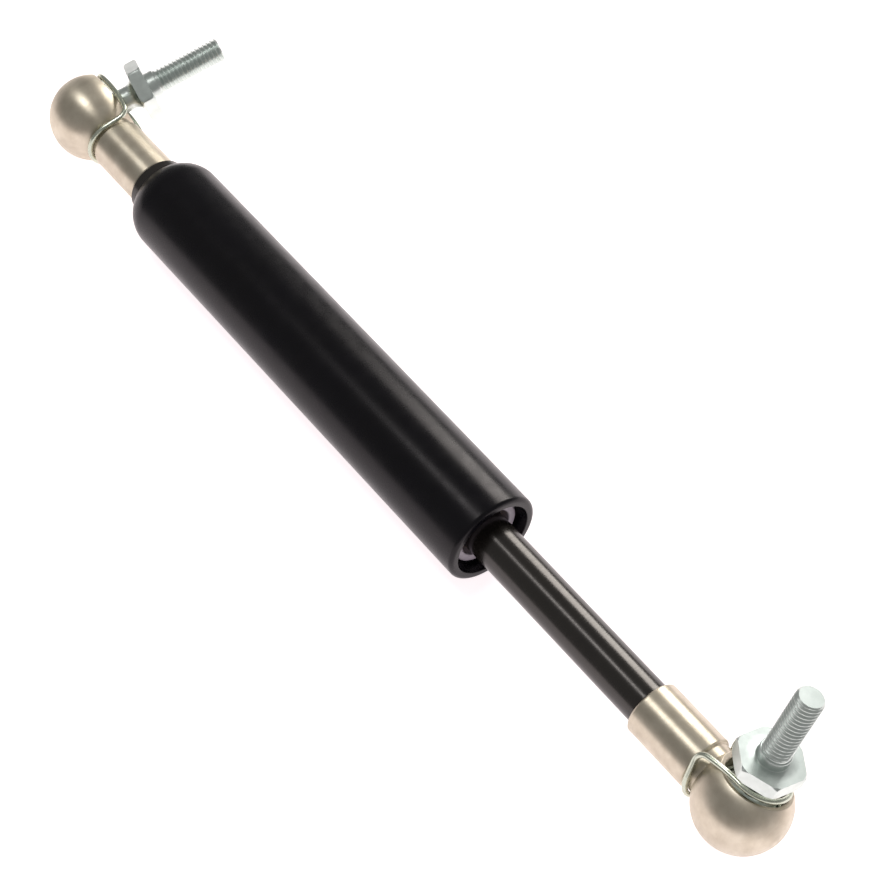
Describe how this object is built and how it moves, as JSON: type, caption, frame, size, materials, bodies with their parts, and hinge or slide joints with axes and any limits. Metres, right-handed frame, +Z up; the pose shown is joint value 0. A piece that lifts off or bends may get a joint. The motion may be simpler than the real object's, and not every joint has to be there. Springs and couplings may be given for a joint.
{
  "type": "gas strut stay",
  "caption": "Gas spring stay that holds up a flap or window: a sliding rod in a pressure tube, with a ball socket, safety clip and threaded ball stud at each end.",
  "frame": {"origin": "centre of the ball at the tube end", "axes": "+X along the strut from the tube end to the rod end, +Z up with the strut lying level, +Y completes the right-handed frame"},
  "size_m": [0.2474, 0.0436, 0.0441],
  "materials": {
    "black_tube": "satin black coat on steel tube",
    "dark_rod": "polished dark nitrided steel",
    "socket_zinc": "turned steel with a warm zinc plating",
    "stud_zinc": "turned steel with a cool zinc plating",
    "clip_wire": "drawn spring steel wire",
    "end_ring_grey": "moulded grey plastic",
    "plain_steel": "turned bare steel",
    "bronze": "sintered bronze",
    "seal_rubber": "moulded black nitrile rubber",
    "piston_ring": "filled sliding plastic"
  },
  "bodies": {
    "barrel": {"pressure_tube": "black_tube", "end_plug": "dark_rod", "guide_bush": "bronze", "outer_oring": "seal_rubber", "rod_seal": "seal_rubber", "seal_washer": "plain_steel", "end_ring": "end_ring_grey", "spacer_sleeve": "plain_steel", "socket_1": "socket_zinc", "clip_1": "clip_wire"},
    "slider": {"piston_ring": "piston_ring"},
    "rod": {"piston_rod": "dark_rod", "piston": "plain_steel", "rod_side_washer": "plain_steel", "gas_side_washer": "plain_steel", "socket_2": "socket_zinc", "clip_2": "clip_wire"},
    "swivel_1": {"snap_ring_1": "clip_wire"},
    "stud_1": {"ball_stud_1": "stud_zinc"},
    "swivel_2": {"snap_ring_2": "clip_wire"},
    "stud_2": {"ball_stud_2": "stud_zinc"}
  },
  "joints": [
    {"name": "rod_slide", "type": "slide", "parent": "barrel", "child": "slider", "axis": [1, 0, 0], "range_m": [-0.045, 0], "stiffness_N_per_m": 600, "springref_m": 0.2},
    {"name": "rod_spin", "type": "hinge", "parent": "slider", "child": "rod", "pos_m": [0, 0, 0], "axis": [1, 0, 0], "continuous": true},
    {"name": "ball_1_swivel", "type": "hinge", "parent": "barrel", "child": "swivel_1", "pos_m": [0, 0, 0], "axis": [0, 0.9588, 0.284], "continuous": true},
    {"name": "ball_1_tilt", "type": "hinge", "parent": "swivel_1", "child": "stud_1", "pos_m": [0, 0, 0], "axis": [0, 0.284, -0.9588], "range_deg": [-31.5, 4.5]},
    {"name": "ball_2_swivel", "type": "hinge", "parent": "rod", "child": "swivel_2", "pos_m": [0.2274, 0, 0], "axis": [0, 0.5, 0.866], "continuous": true},
    {"name": "ball_2_tilt", "type": "hinge", "parent": "swivel_2", "child": "stud_2", "pos_m": [0.2274, 0, 0], "axis": [0.9444, 0.2848, -0.1644], "range_deg": [-31.2, 4.8]}
  ]
}
